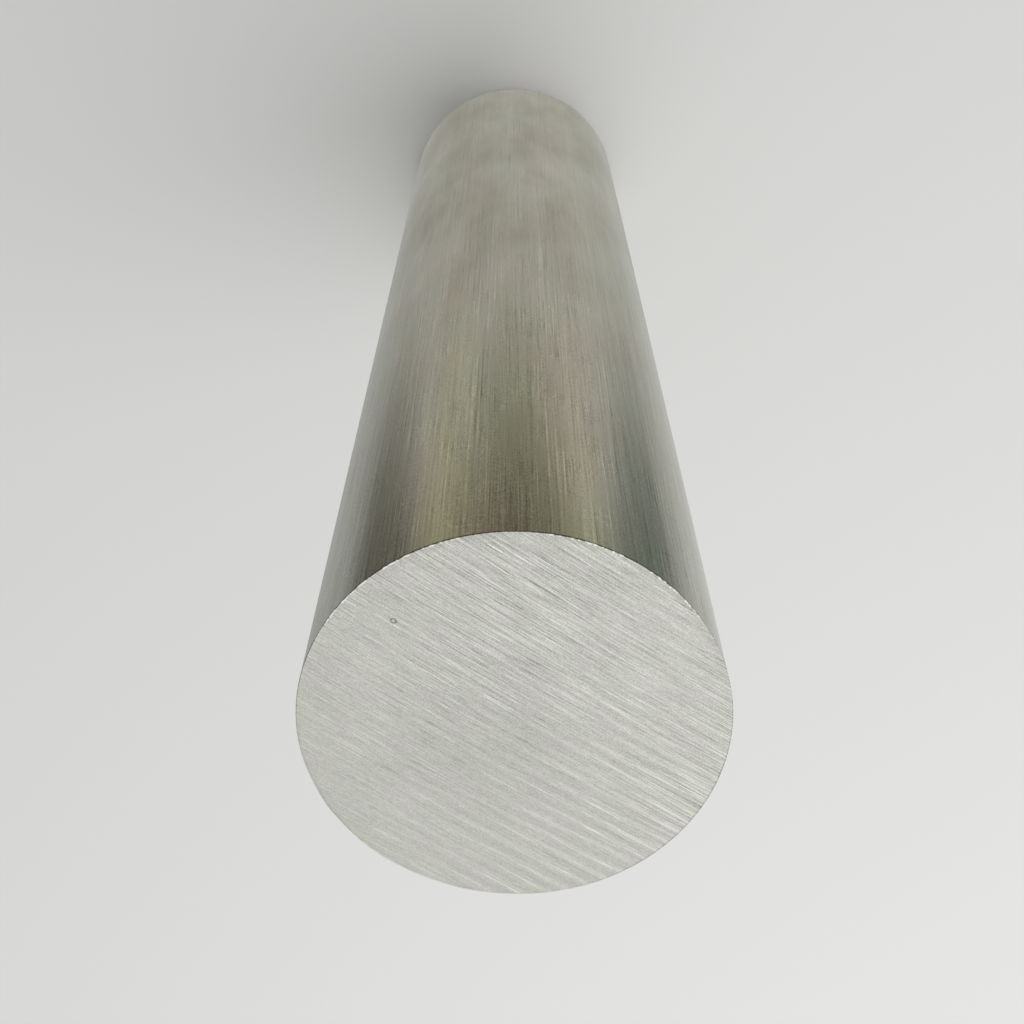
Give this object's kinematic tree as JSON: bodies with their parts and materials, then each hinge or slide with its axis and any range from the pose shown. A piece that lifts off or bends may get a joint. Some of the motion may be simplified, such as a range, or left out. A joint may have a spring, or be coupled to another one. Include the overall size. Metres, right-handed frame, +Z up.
{
  "type": "round metal bar",
  "caption": "Short solid round steel bar with a bright drawn side and square sawn ends, raw stock for turning, machining or use as a plain shaft.",
  "frame": {"origin": "centre of the lower sawn end face, on the floor", "axes": "+Z up the bar's axis; -Y is the side of the bar that faces the camera, and +X runs across it"},
  "size_m": [0.0635, 0.0634, 0.3048],
  "materials": {
    "bright_steel": "bright drawn along the length, with fine straight draw lines, and fine parallel saw marks on both end faces"
  },
  "bodies": {
    "root": {"round_bar": "bright_steel"}
  },
  "joints": []
}
